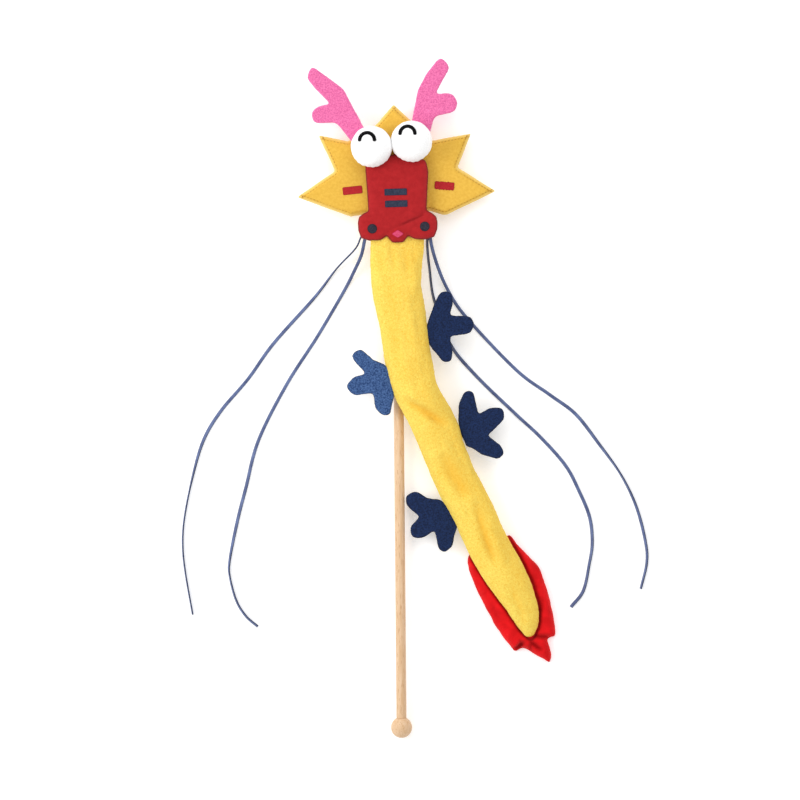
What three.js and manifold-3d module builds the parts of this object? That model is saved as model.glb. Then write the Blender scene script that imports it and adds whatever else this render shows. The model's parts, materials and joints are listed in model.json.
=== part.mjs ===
// Dragon-dance toy on a stick, lying on its back on a table, face up.
// Millimetres. +Z is up off the table, +Y runs along the stick towards the head, and the
// origin is under the middle of the head, on the flat underside of the stick's pocket.
import * as THREE from "three";
import { mergeVertices } from "three/addons/utils/BufferGeometryUtils.js";
import Module from "manifold-3d";

const wasm = await Module();
wasm.setup();

// Driving dimensions
const GAP = 0.3; // clearance left between sewn or glued faces
const FELT = 3; // thick felt of the antlers and feet
const STICK_R = 4;
const STICK_Z = 8.5; // height of the stick's axis, set by the ball's radius
const STICK_TOP = 40;
const STICK_END = -422;
const BALL_R = 8.5;
const SLEEVE_TOP = 13.1;
const MANE_Z = SLEEVE_TOP + 0.4; // underside of the mane's back layer
const MANE_SKIN = 1.5;
const MANE_CORE = 2.5;
const MANE_FRONT_Z = MANE_Z + MANE_SKIN + MANE_CORE + 2 * GAP;
const FACE_Z = MANE_FRONT_Z + MANE_SKIN + GAP; // where the pieces on the mane start
const EYE_R = 15.9;
const EYE_FLAT_Z = FACE_Z + FELT + GAP; // the balls are flattened where they are sewn on
const EYE_Z = EYE_FLAT_Z + 12.8;
const SNOUT_Z = FACE_Z + 3.4;
const SNOUT_FRONT_Z = SNOUT_Z + 1.3;
const SNOUT_HEIGHT = 6.4;
const SNOUT_SKIN = 1.2;
const SNOUT_EDGE = 2.5; // how far in the snout's rounded edge reaches
const PATCH = 0.7; // thin felt patches: nostrils, bars, tongue, eye arcs
const LACE_R = 1.3;
const FLEECE = 1.2; // wall of the fleece tube
const HINGE_GAP = 1.4; // space between two lengths of the body at a bend
const FLEX_GAP = 2.4; // the same at a bend in one piece of felt
const SEAM_ROOM = 2.2; // room for a foot's sewn edge to turn beside the body

const red = { color: "#C2232B", roughness: 0.85 };
const mustard = { color: "#E9B93F", roughness: 0.9 };
const navy = { color: "#1B2B58", roughness: 0.9 };
const pink = { color: "#EE6FAF", roughness: 0.95 };
const yellow = { color: "#FBDD4B", roughness: 1 };
const white = { color: "#F7F6F2", roughness: 1 };
const wood = { color: "#E0BE97", roughness: 0.6 };

const dragon = new THREE.Group();

function add(name, geometry, look, parent = dragon) {
  const material = new THREE.MeshStandardMaterial({ metalness: 0, ...look });
  const mesh = new THREE.Mesh(geometry, material);
  mesh.name = name;
  parent.add(mesh);
  return mesh;
}

// A closed three.js geometry as a manifold-3d solid, and back.
function solid(geometry) {
  const bare = geometry.clone();
  bare.deleteAttribute("normal");
  bare.deleteAttribute("uv");
  const merged = mergeVertices(bare, 1e-4);
  return new wasm.Manifold(new wasm.Mesh({
    numProp: 3,
    vertProperties: merged.attributes.position.array,
    triVerts: new Uint32Array(merged.index.array),
  }));
}

function geometryOf(body) {
  const mesh = body.getMesh();
  const geometry = new THREE.BufferGeometry();
  const positions = new THREE.BufferAttribute(new Float32Array(mesh.vertProperties), 3);
  geometry.setAttribute("position", positions);
  geometry.setIndex(new THREE.BufferAttribute(new Uint32Array(mesh.triVerts), 1));
  return geometry;
}

// A closed outline from corner points [x, y, radius], each corner rounded by its radius.
function outline(corners) {
  const shape = new THREE.Shape();
  const count = corners.length;
  corners.forEach(([x, y, radius], i) => {
    const here = new THREE.Vector2(x, y);
    const before = new THREE.Vector2(...corners[(i + count - 1) % count]);
    const after = new THREE.Vector2(...corners[(i + 1) % count]);
    const back = before.sub(here);
    const on = after.sub(here);
    const half = Math.abs(Math.atan2(back.cross(on), back.dot(on))) / 2;
    const reach = Math.min(radius / Math.tan(half), back.length() * 0.49, on.length() * 0.49);
    const start = here.clone().addScaledVector(back.normalize(), reach);
    const end = here.clone().addScaledVector(on.normalize(), reach);
    if (i === 0) shape.moveTo(start.x, start.y);
    else shape.lineTo(start.x, start.y);
    if (reach > 0.01) shape.quadraticCurveTo(x, y, end.x, end.y);
  });
  shape.closePath();
  return shape;
}

// A flat layer of the given outline between two heights, cut in from the edge by inset.
function layer(shape, bottom, top, inset = 0, curveSegments = 2) {
  const geometry = new THREE.ExtrudeGeometry(shape, {
    depth: top - bottom,
    curveSegments,
    bevelEnabled: inset > 0,
    bevelThickness: 0,
    bevelSize: 0,
    bevelOffset: -inset,
    bevelSegments: 0,
  });
  return geometry.translate(0, 0, bottom);
}

// A layer with a rounded upper edge: each level is drawn in towards the middle.
function pad(shape, bottom, top, edge, inset = 0) {
  const levels = [
    [bottom, 0], [top - edge, 0], [top - edge / 2, edge * 0.13], [top - edge * 0.13, edge / 2],
    [top, edge],
  ];
  const steps = levels.length - 1;
  const geometry = new THREE.ExtrudeGeometry(shape, {
    depth: steps, steps, curveSegments: 2, bevelEnabled: false,
  });
  geometry.computeBoundingBox();
  const middle = geometry.boundingBox.getCenter(new THREE.Vector3());
  const half = geometry.boundingBox.getSize(new THREE.Vector3()).divideScalar(2);
  const position = geometry.attributes.position;
  for (let i = 0; i < position.count; i++) {
    const [z, drawnIn] = levels[Math.round(position.getZ(i))];
    const x = position.getX(i) - middle.x;
    const y = position.getY(i) - middle.y;
    const shift = drawnIn + inset;
    position.setXYZ(i, middle.x + x * (1 - shift / half.x), middle.y + y * (1 - shift / half.y), z);
  }
  return solid(geometry);
}

// Stick and its ball end: a turned beech dowel glued into a drilled beech ball.
function makeStick() {
  const length = STICK_TOP - STICK_END;
  const dowel = add("stick", new THREE.CylinderGeometry(STICK_R, STICK_R, length, 16), wood);
  dowel.position.set(0, (STICK_TOP + STICK_END) / 2, STICK_Z);
  const hole = STICK_R + GAP;
  const profile = [];
  const mouth = Math.acos(hole / BALL_R);
  for (let i = 0; i <= 9; i++) {
    const angle = -Math.PI / 2 + ((Math.PI / 2 + mouth) * i) / 9;
    profile.push(new THREE.Vector2(BALL_R * Math.cos(angle), BALL_R * Math.sin(angle)));
  }
  profile[0].x = 0;
  profile.push(new THREE.Vector2(hole, -0.4), new THREE.Vector2(0, -0.4));
  const ball = add("ball_knob", new THREE.LatheGeometry(profile, 20), wood);
  ball.position.set(0, STICK_END, STICK_Z);
}

// Pocket sewn on the mane's back, which holds the stick's top end. Its underside is flat.
function makeSleeve() {
  const half = 11;
  const section = outline([[-half, 0, 1], [half, 0, 1], [half - 2, SLEEVE_TOP, 4],
    [2 - half, SLEEVE_TOP, 4]]);
  const bore = new THREE.Path();
  bore.absarc(0, STICK_Z, STICK_R + GAP, 0, 2 * Math.PI, true);
  section.holes.push(bore);
  const top = STICK_TOP + 2;
  const bottom = -32;
  const sleeve = new THREE.ExtrudeGeometry(section, {
    depth: top - bottom, curveSegments: 6, bevelEnabled: false,
  });
  sleeve.rotateX(Math.PI / 2);
  sleeve.translate(0, top, 0);
  add("stick_sleeve", sleeve, mustard);
}

// Mane: a spiky collar of two cloth faces sewn round a stiff foam sheet.
function makeMane() {
  const star = outline([
    [-2, 76.5, 1], [-18, 58.5, 1], [-39, 47.5, 2], [-62.5, 52.5, 1], [-49.5, 23.5, 2],
    [-80, 3, 1], [-37.5, -13, 4], [-24, -11, 2], [26.5, -9, 2], [38.5, -13, 6],
    [79.5, 6.5, 1], [48.5, 25.5, 2], [60, 53, 1], [27, 47, 2], [11.5, 63.5, 1],
  ]);
  const coreZ = MANE_Z + MANE_SKIN + GAP;
  add("mane_back", layer(star, MANE_Z, MANE_Z + MANE_SKIN), mustard);
  add("mane_core", layer(star, coreZ, coreZ + MANE_CORE, 2.5), white);
  add("mane_front", layer(star, MANE_FRONT_Z, MANE_FRONT_Z + MANE_SKIN), mustard);
  const bar = outline([[-7.9, -3.2, 1], [7.9, -3.2, 1], [7.9, 3.2, 1], [-7.9, 3.2, 1]]);
  for (const [name, x, y, tilt] of [["left", -35.5, 8, 0.1], ["right", 38, 11, -0.09]]) {
    const patch = add(`mane_bar_${name}`, layer(bar, 0, PATCH), red);
    patch.position.set(x, y, FACE_Z);
    patch.rotation.z = tilt;
  }
}

// Everything on one side of a vertical plane through (x, y) whose normal is at angle.
function beyond(body, x, y, angle, offset) {
  const away = new THREE.BoxGeometry(400, 400, 400).translate(-200 + offset, 0, 0);
  away.rotateZ(angle);
  away.translate(x, y, 0);
  return body.subtract(solid(away));
}

// Antlers: forked thick felt, sewn down behind the eyes and bending where they leave the mane.
function makeAntlers() {
  const left = outline([
    [-67.5, 108.5, 5], [-71.5, 98, 5], [-65, 90, 8], [-52, 77, 1.5], [-61, 76, 6],
    [-68.5, 71, 6], [-66.5, 61.5, 5], [-48, 62.5, 6], [-34, 44, 0], [-20, 52, 0],
    [-26, 58, 1], [-33, 71.5, 10], [-42, 89, 6], [-60, 102.5, 3],
  ]);
  const right = outline([
    [36, 115, 4], [43.5, 106, 5], [31, 84, 1.5], [45, 85.5, 6], [49.5, 77, 5],
    [47, 70, 5], [30.5, 66.5, 5], [25.5, 48, 0], [12, 52, 0], [12.5, 64, 1],
    [17.5, 88, 8], [24, 100, 6],
  ]);
  for (const [side, shape, x, y, angle] of [
    ["left", left, -38, 64, 1.98], ["right", right, 21.5, 66.8, 1.37],
  ]) {
    const whole = solid(layer(shape, FACE_Z, FACE_Z + FELT));
    const tip = beyond(whole, x, y, angle, FLEX_GAP / 2);
    const root = beyond(whole, x, y, angle + Math.PI, FLEX_GAP / 2);
    add(`antler_root_${side}`, geometryOf(root), pink);
    add(`antler_${side}`, geometryOf(tip), pink);
  }
}

const eyes = [
  { side: "left", x: -20, y: 42.5, arc: [-23.5, 47.5] },
  { side: "right", x: 12, y: 46.5, arc: [8.8, 52.4] },
];

function ball(x, y, z, radius) {
  const sphere = new THREE.SphereGeometry(radius, 22, 14).rotateX(Math.PI / 2);
  return solid(sphere.translate(x, y, z));
}

// Eyes: white stuffed balls flattened at the back, with a smiling arc of black thread.
function makeEyes() {
  const smile = new THREE.Shape();
  const arcR = 6;
  const stroke = 1.1;
  smile.absarc(0, 0, arcR + stroke, 0, Math.PI, false);
  smile.absarc(-arcR, 0, stroke, Math.PI, 2 * Math.PI, false);
  smile.absarc(0, 0, arcR - stroke, Math.PI, 0, true);
  smile.absarc(arcR, 0, stroke, Math.PI, 2 * Math.PI, false);
  for (const { side, x, y, arc } of eyes) {
    const back = new THREE.BoxGeometry(40, 40, 20).translate(x, y, EYE_FLAT_Z - 10);
    const eye = ball(x, y, EYE_Z, EYE_R).subtract(solid(back));
    add(`eye_${side}`, geometryOf(eye), white);
    const band = layer(smile, EYE_Z + 4, EYE_Z + 30, 0, 6).translate(arc[0], arc[1], 0);
    const shell = ball(x, y, EYE_Z, EYE_R + GAP + PATCH).subtract(
      ball(x, y, EYE_Z, EYE_R + GAP));
    add(`eye_arc_${side}`, geometryOf(shell.intersect(solid(band))), { color: "#161616" });
  }
}

// Snout: a soft red pad of back cloth, filling and front cloth, hollowed where the eyes sit.
function makeSnout() {
  const muzzle = outline([
    [-25.2, 32, 0], [-25, 22, 0], [-22.8, -9, 1.5], [-31.5, -13, 8], [-31, -32.5, 10],
    [-14, -32.5, 6], [-8.3, -28.6, 1], [-4, -34, 3], [4.8, -34, 3], [8.6, -28.8, 1],
    [14, -31.8, 6], [31.5, -32, 10], [32.5, -13, 8], [23.6, -8.5, 1.5], [25.2, 22, 2],
    [23.5, 32, 5], [0, 37, 0],
  ]);
  const clear = (body, room) => eyes.reduce(
    (left, { x, y }) => left.subtract(ball(x, y, EYE_Z, EYE_R + room)), body);
  const top = SNOUT_FRONT_Z + SNOUT_HEIGHT;
  const shell = pad(muzzle, SNOUT_FRONT_Z, top, SNOUT_EDGE);
  const hollow = pad(muzzle, SNOUT_FRONT_Z - 1, top - SNOUT_SKIN, SNOUT_EDGE, SNOUT_SKIN);
  const inner = SNOUT_SKIN + GAP;
  const wad = pad(muzzle, SNOUT_FRONT_Z, top - inner, SNOUT_EDGE, inner);
  const hole = clear(hollow, GAP + SNOUT_SKIN);
  add("snout_back", geometryOf(clear(solid(layer(muzzle, SNOUT_Z, SNOUT_Z + 1)), GAP)), red);
  add("snout_filling", geometryOf(clear(wad, GAP + inner)), white);
  add("snout_front", geometryOf(clear(shell, GAP).subtract(hole)), red);
  const patchZ = top + GAP;
  const bar = outline([[-9, -2.7, 0.6], [9, -2.7, 0.6], [9, 2.7, 0.6], [-9, 2.7, 0.6]]);
  for (const [name, x, y] of [["upper", -1, 6.2], ["lower", -0.6, -3.2]]) {
    const patch = add(`snout_bar_${name}`, layer(bar, 0, PATCH), navy);
    patch.position.set(x, y, patchZ);
    patch.rotation.z = 0.02;
  }
  for (const [name, x, y] of [["left", -20, -23], ["right", 22, -21.5]]) {
    const disc = new THREE.CylinderGeometry(3.9, 3.9, PATCH, 20).rotateX(Math.PI / 2);
    add(`nostril_${name}`, disc, navy).position.set(x, y, patchZ + PATCH / 2);
  }
  const tongue = outline([[-5, 0, 0.8], [0, -3.2, 1.5], [5, 0, 0.8], [0, 3.2, 1.5]]);
  add("tongue", layer(tongue, 0, PATCH), pink).position.set(0.4, -27.3, patchZ);
}

// The body's line: centre x, y, z, half width and half height of the fleece tube.
const stations = [
  [0, -36.6, 22, 22.3, 1.4], [-0.3, -46, 22.4, 21.5, 5], [-0.5, -58, 23.3, 20.5, 10],
  [-0.5, -72, 24, 20, 11], [3, -96, 24, 19.8, 11], [7.5, -128, 24, 18.5, 11],
  [13, -152, 23.6, 17.8, 11], [25, -176, 20.5, 17.8, 11], [35, -200.5, 15.5, 18, 11],
  [45.3, -224.2, 12.2, 17.8, 11], [57.3, -247.5, 11.8, 17.2, 11],
  [68.3, -271.5, 12.2, 17, 10.6], [83, -299.2, 12.8, 16.4, 10], [90.8, -314.6, 12.5, 14.8, 9.2],
  [98, -329.8, 11.5, 11.3, 7.6], [101.8, -341.2, 10.6, 7.5, 5.6], [103.8, -349.5, 10, 2.4, 1.8],
];
const line = new THREE.CatmullRomCurve3(
  stations.map(([x, y, z]) => new THREE.Vector3(x, y, z)), false, "catmullrom", 0.5);
const girth = new THREE.CatmullRomCurve3(
  stations.map(([, , , w, h]) => new THREE.Vector3(w, h, 0)), false, "catmullrom", 0.5);

// Bends: place along the stations (whole stations plus a part) and the most it folds up.
const bends = [
  { at: 3.25, fold: 35 }, { at: 6.15, fold: 40 }, { at: 9.2, fold: 40 }, { at: 11.15, fold: 40 },
];

const onLine = (station) => station / (stations.length - 1);

// The tube's frame at a station: centre, level tangent and level sideways direction.
function frameAt(station) {
  const centre = line.getPoint(onLine(station));
  const along = line.getTangent(onLine(station)).setZ(0).normalize();
  const side = new THREE.Vector3(-along.y, along.x, 0);
  return { centre, along, side };
}

const TUBE_SIDES = 14;
const FLATTEST = 0.3; // least half height of the tube

// A length of the soft tube between two stations, its wall moved out by swell.
function tube(from, to, swell, rings) {
  const geometry = new THREE.CylinderGeometry(1, 1, 1, TUBE_SIDES, rings);
  const position = geometry.attributes.position;
  const point = new THREE.Vector3();
  for (let i = 0; i < position.count; i++) {
    point.fromBufferAttribute(position, i);
    const station = to + (from - to) * (point.y + 0.5);
    const { centre, side } = frameAt(station);
    const size = girth.getPoint(onLine(station));
    const across = -point.z * (size.x + swell);
    const up = point.x * Math.max(size.y + swell, FLATTEST);
    centre.addScaledVector(side, across);
    position.setXYZ(i, centre.x, centre.y, centre.z + up);
  }
  return solid(geometry);
}

const NOTCH_RISE = 30; // from the hinge's line up past the tube's top, and down past its floor
const NOTCH_LENGTH = 100; // across the tube, past both its sides
const BEND_ROOM = 2; // extra opening of a notch, in degrees

// The space a bend needs: a slot across the tube that opens upwards into a notch.
function notch({ at, fold }, grow = 0) {
  const half = HINGE_GAP / 2 + grow;
  const slope = THREE.MathUtils.degToRad(fold / 2 + BEND_ROOM);
  const spread = half + NOTCH_RISE * Math.tan(slope);
  const shape = new THREE.Shape();
  shape.moveTo(-half, -NOTCH_RISE);
  shape.lineTo(half, -NOTCH_RISE);
  shape.lineTo(half, 0);
  shape.lineTo(spread, NOTCH_RISE);
  shape.lineTo(-spread, NOTCH_RISE);
  shape.lineTo(-half, 0);
  const cutter = new THREE.ExtrudeGeometry(shape, { depth: NOTCH_LENGTH, bevelEnabled: false });
  cutter.translate(0, 0, -NOTCH_LENGTH / 2);
  const { centre, along, side } = frameAt(at);
  const up = new THREE.Vector3(0, 0, 1);
  const turn = new THREE.Matrix4().makeBasis(along, up, side.clone().negate());
  cutter.applyMatrix4(turn.setPosition(centre));
  return solid(cutter);
}

// The biggest of the pieces that a cut leaves.
function biggest(body) {
  const pieces = body.decompose();
  return pieces.reduce((best, piece) => (piece.volume() > best.volume() ? piece : best));
}

const OVERRUN = 0.45; // how far a tube runs past its bend before the notch cuts it back
const STUFFING_SHORT = 0.6; // the stuffing stops short of the fleece's cut ends
const RINGS_PER_STATION = 2.5;

// Body: fleece tube in five lengths that fold at the bends, each round its own stuffing,
// and the flat neck end that is sewn between mane and snout.
function makeBody() {
  const neck = outline([[-21.5, -34, 0], [21.5, -34, 0], [20, 20, 4], [-20, 20, 4]]);
  add("neck_end", layer(neck, FACE_Z + 0.1, SNOUT_Z - GAP), yellow);
  const ends = [0, ...bends.map((bend) => bend.at), stations.length - 1];
  for (let i = 0; i < 5; i++) {
    const [from, to] = [ends[i], ends[i + 1]];
    const last = i === 4;
    const start = i === 0 ? from : from - OVERRUN;
    const end = last ? to : to + OVERRUN;
    const rings = Math.round((end - start) * RINGS_PER_STATION);
    const inside = tube(i === 0 ? 0.9 : start - 0.1, last ? to - 0.6 : end + 0.1, -FLEECE, rings);
    const wad = tube(i === 0 ? 1.2 : start, last ? to - 1 : end, -FLEECE - GAP, rings);
    let skin = tube(start, end, 0, rings).subtract(inside);
    let stuffing = wad;
    for (const bend of [bends[i - 1], bends[i]].filter(Boolean)) {
      skin = biggest(skin.subtract(notch(bend)));
      stuffing = biggest(stuffing.subtract(notch(bend, STUFFING_SHORT)));
    }
    add(`body_fleece_${i + 1}`, geometryOf(skin), yellow);
    add(`body_stuffing_${i + 1}`, geometryOf(stuffing), white);
  }
}

const FIN_HEIGHT = 9;
const FIN_EDGE = 3.5; // how far the rounded rim reaches in
const FIN_ROOM = 0.5; // between the tail and the hollow it lies in

// Tail fin: a flat stuffed plush flame that the tail lies in.
function makeFin() {
  const flame = outline([
    [54.5, -284, 1], [53.5, -292, 4], [57.5, -304, 20], [66.5, -322, 20], [83.5, -349, 8],
    [91.5, -363, 5], [97.5, -359, 1.5], [108.5, -365, 6], [119, -372, 3], [120.5, -365, 3],
    [117, -352, 1.5], [124, -350, 4], [122.5, -335, 10], [119.5, -318, 20], [112, -294, 12],
    [99.5, -282.5, 8], [94, -273.5, 4], [87, -268.5, 1],
  ]);
  const bed = pad(flame, 0, FIN_HEIGHT, FIN_EDGE);
  const hollow = tube(bends[3].at - 0.3, stations.length - 1, FIN_ROOM, 14);
  const fin = biggest(bed.subtract(hollow).subtract(notch(bends[3])));
  add("tail_fin", geometryOf(fin), { color: "#E0141A", roughness: 1 });
}

// Feet: three-toed thick felt, each sewn by its straight edge to the body's side seam.
function makeFeet() {
  const feet = [
    ["foot_right_front", 24, [
      [26.4, -98, 0], [28, -86, 6], [34, -73.5, 5], [43.5, -73.5, 5], [43.5, -84, 6],
      [41, -93, 1.5], [58, -93.5, 5], [61, -100, 4], [58, -107, 5], [41, -109.5, 1.5],
      [43, -121, 6], [42.5, -130.5, 5], [34.5, -129.5, 5], [29, -118, 8], [27.2, -111, 0],
    ]],
    ["foot_left_front", 23.5, [
      [-12.5, -131, 0], [-20, -128, 8], [-30.5, -118.5, 4], [-38.5, -124, 4],
      [-33, -131, 4], [-25.5, -139, 1.5], [-36, -141.5, 5], [-42.5, -149, 4],
      [-36, -156, 4], [-20, -154, 1.5], [-18.5, -167, 5], [-12, -173, 5], [-6, -170.5, 4],
      [-6.2, -162, 0],
    ]],
    ["foot_right_rear", 18, [
      [50.3, -179, 0], [48, -164, 6], [53, -153, 5], [59.5, -153.5, 4], [63.5, -172.5, 1.5],
      [73, -167, 6], [84, -166.5, 5], [84.5, -176, 6], [70.5, -189, 1.5], [80.5, -196.5, 5],
      [84.5, -203.5, 4], [79, -208, 4], [66, -204, 10], [58.7, -199.5, 3], [57.5, -195.5, 0],
    ]],
    ["foot_left_rear", 12.5, [
      [36, -240.5, 0], [22, -239, 6], [13, -232.5, 5], [4.8, -237, 4], [6, -245, 5],
      [16.5, -253.5, 1.5], [8, -262, 5], [9.5, -271, 5], [19, -270, 6], [28, -264, 1.5],
      [31, -279, 5], [35.5, -282.5, 3], [42, -277, 5], [43.3, -266, 6], [46, -258, 0],
    ]],
  ];
  const body = tube(2, 12, SEAM_ROOM, 24);
  for (const [name, height, corners] of feet) {
    const felt = layer(outline(corners), height - FELT / 2, height + FELT / 2);
    add(name, geometryOf(biggest(solid(felt).subtract(body))), navy);
  }
}

// Whiskers: leather laces that come out from under the snout's lobes and lie on the table.
function makeWhiskers() {
  const floor = LACE_R + 0.2;
  const routes = {
    outer_left: [
      [-26, -23.5, 21.2], [-29.4, -30, 19.2], [-34, -39, 13.5], [-49, -54.5, 3.5],
      [-66.5, -77, floor], [-100, -114, floor], [-120.5, -142, floor], [-142.5, -167.5, floor],
      [-156.5, -190.5, floor], [-165.5, -219.5, floor], [-172.5, -253, floor],
      [-174, -275.5, floor], [-172, -297.5, floor], [-166.5, -330.5, floor],
    ],
    inner_left: [
      [-25.2, -28.5, 18.2], [-26.5, -33.5, 16.5], [-29, -44, 12], [-35, -57, 5.5],
      [-44, -74, 2], [-65, -109, floor], [-89.5, -146.5, floor], [-112.5, -191, floor],
      [-123, -229, floor], [-130, -255.5, floor], [-136.5, -287, floor],
      [-136.5, -300.5, floor], [-131.5, -319.5, floor], [-124, -332, floor],
      [-114.5, -340.5, floor],
    ],
    inner_right: [
      [24.8, -28, 18.2], [23.8, -36, 16], [25.6, -56, 7], [29, -80, 2], [41, -114.5, floor],
      [61, -140, floor], [93.5, -172, floor], [113.5, -191, floor], [133, -213.5, floor],
      [143.5, -233.5, floor], [152, -255, floor], [154, -275.5, floor],
      [151.5, -292.5, floor], [146.5, -314, floor], [136.5, -327, floor],
    ],
    outer_right: [
      [26.4, -23.5, 21.2], [26.8, -34, 18.8], [31.6, -52, 11], [40, -72, 4], [54.5, -94, floor],
      [94, -136.5, floor], [120.5, -156.5, floor], [141.5, -172.5, floor],
      [160, -196.5, floor], [177.5, -221.5, floor], [189.5, -247, floor],
      [196.5, -274.5, floor], [197.5, -292, floor], [192.5, -313, floor],
    ],
  };
  const section = new THREE.Shape();
  section.absarc(0, 0, LACE_R, 0, 2 * Math.PI, false);
  for (const [name, points] of Object.entries(routes)) {
    const path = new THREE.CatmullRomCurve3(points.map((p) => new THREE.Vector3(...p)));
    const lace = new THREE.ExtrudeGeometry(section, {
      steps: Math.round(path.getLength() / 7.5),
      curveSegments: 4,
      extrudePath: path,
    });
    add(`whisker_${name}`, lace, { color: "#41507C", roughness: 0.7 });
  }
}

makeStick();
makeSleeve();
makeMane();
makeAntlers();
makeEyes();
makeSnout();
makeBody();
makeFin();
makeFeet();
makeWhiskers();

export default dragon;
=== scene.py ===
import json
import math

import bmesh
import bpy
import numpy as np
from bmesh.types import BMEdge, BMFace, BMVert
from mathutils import Matrix, Vector, noise


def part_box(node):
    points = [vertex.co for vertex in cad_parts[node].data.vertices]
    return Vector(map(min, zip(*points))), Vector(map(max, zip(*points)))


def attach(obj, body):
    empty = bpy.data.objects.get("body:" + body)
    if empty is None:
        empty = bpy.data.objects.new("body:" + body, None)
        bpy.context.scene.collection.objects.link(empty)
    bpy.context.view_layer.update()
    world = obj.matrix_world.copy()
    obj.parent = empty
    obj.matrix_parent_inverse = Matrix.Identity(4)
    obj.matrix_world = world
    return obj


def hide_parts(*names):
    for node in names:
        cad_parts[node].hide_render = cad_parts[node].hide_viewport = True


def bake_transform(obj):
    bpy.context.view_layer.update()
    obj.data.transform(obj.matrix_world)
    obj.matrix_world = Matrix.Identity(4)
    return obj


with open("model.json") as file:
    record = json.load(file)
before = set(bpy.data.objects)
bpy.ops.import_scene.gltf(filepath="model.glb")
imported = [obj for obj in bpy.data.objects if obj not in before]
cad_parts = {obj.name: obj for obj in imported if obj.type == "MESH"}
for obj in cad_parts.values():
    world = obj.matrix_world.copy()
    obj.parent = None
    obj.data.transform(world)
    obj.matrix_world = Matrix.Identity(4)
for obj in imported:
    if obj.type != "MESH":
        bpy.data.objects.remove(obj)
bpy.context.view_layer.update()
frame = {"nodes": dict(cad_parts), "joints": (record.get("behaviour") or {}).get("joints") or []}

# ----------------------------------------
# Camera, table and light.
# The toy lies on its back on a white table and is seen from straight above, with a long
# lens. A broad white sky gives the soft fill, and two big lamps give the forms a light side.
mm = 0.001
nodes = frame["nodes"]
scene = bpy.context.scene
scene.view_settings.view_transform = "Standard"

FRAME_WIDTH = 640 * mm
FRAME_MIDDLE = Vector((1, -160, 15)) * mm
LENS, SENSOR = 600, 36  # long enough that nothing leans outward at the frame's edges
ROLL = math.radians(-0.5)
camera_data = bpy.data.cameras.new("camera")
camera_data.lens = LENS
camera_data.sensor_width = SENSOR
camera_data.clip_end = 20
camera = bpy.data.objects.new("camera", camera_data)
camera.location = FRAME_MIDDLE + Vector((0, 0, FRAME_WIDTH * LENS / SENSOR))
camera.rotation_euler = (0, 0, ROLL)
scene.collection.objects.link(camera)
scene.camera = camera


def linear(hex_colour):
    """A #RRGGBB colour as the linear values that a shader takes."""
    values = [int(hex_colour[i:i + 2], 16) / 255 for i in (1, 3, 5)]
    return [v / 12.92 if v <= 0.04045 else ((v + 0.055) / 1.055) ** 2.4 for v in values] + [1.0]


def add_node(tree, kind, sockets=None, **settings):
    """Adds a node, sets its settings, and fills or links its input sockets."""
    made = tree.nodes.new(kind)
    for key, value in settings.items():
        setattr(made, key, value)
    for key, value in (sockets or {}).items():
        if isinstance(value, bpy.types.NodeSocket):
            tree.links.new(value, made.inputs[key])
        else:
            made.inputs[key].default_value = value
    return made


def colour_stops(ramp, *stops):
    """Gives a colour ramp its stops, as pairs of position and #RRGGBB colour."""
    for element, (position, colour) in zip(ramp.color_ramp.elements, stops):
        element.position = position
        element.color = linear(colour)


def new_material(name, roughness, **shader):
    """A material with a Principled shader; returns it with its tree, shader and coordinates."""
    material = bpy.data.materials.new(name)
    material.use_nodes = True
    tree = material.node_tree
    skin = tree.nodes["Principled BSDF"]
    skin.inputs["Roughness"].default_value = roughness
    for key, value in shader.items():
        skin.inputs[key.replace("_", " ")].default_value = value
    place = add_node(tree, "ShaderNodeTexCoord").outputs["Object"]
    return material, tree, skin, place


def dress(tree, skin, colour, height, strength, depth):
    """Gives a shader its colour, and a bump as deep as depth."""
    bump = add_node(tree, "ShaderNodeBump", {
        "Height": height, "Strength": strength, "Distance": depth})
    tree.links.new(colour, skin.inputs["Base Color"])
    tree.links.new(bump.outputs["Normal"], skin.inputs["Normal"])


# The table is a matt white board, lit a little from below so that shadows on it stay faint.
table_material, tree, skin, place = new_material("white_laminate", 0.6)
skin.inputs["Base Color"].default_value = linear("#F2F2F2")
skin.inputs["Emission Color"].default_value = (1, 1, 1, 1)
skin.inputs["Emission Strength"].default_value = 0.28
bm = bmesh.new()
bmesh.ops.create_grid(bm, x_segments=1, y_segments=1, size=4)
table_mesh = bpy.data.meshes.new("table")
bm.to_mesh(table_mesh)
bm.free()
table = bpy.data.objects.new("table", table_mesh)
table.data.materials.append(table_material)
scene.collection.objects.link(table)

world = bpy.data.worlds.new("studio")
world.use_nodes = True
world.node_tree.nodes["Background"].inputs["Color"].default_value = (1, 1, 1, 1)
world.node_tree.nodes["Background"].inputs["Strength"].default_value = 0.78
scene.world = world
for name, where, size, watts in (
    ("lamp_left", (-1.4, 0.05, 1.25), 1.0, 15.0),
    ("lamp_top", (0.2, 0.6, 1.3), 1.0, 5.5),
):
    lamp_data = bpy.data.lights.new(name, "AREA")
    lamp_data.energy = watts
    lamp_data.size = size
    lamp = bpy.data.objects.new(name, lamp_data)
    lamp.location = where
    aim = Vector((0.0, -0.15, 0.0)) - Vector(where)
    lamp.rotation_euler = aim.to_track_quat("-Z", "Y").to_euler()
    scene.collection.objects.link(lamp)

# ----------------------------------------
# Whiskers: four flat leather laces, navy-blue, cut from a hide with a blade.
# Their top ends are caught under the snout's lobes; each slides down to the table and lies
# there on its face or, where it has twisted, on its cut edge.
LACE_WIDTH, LACE_THICK = 2.6 * mm, 1.1 * mm
FLOOR = 1.5  # height of a lace's line where it lies on the table, in millimetres

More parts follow.
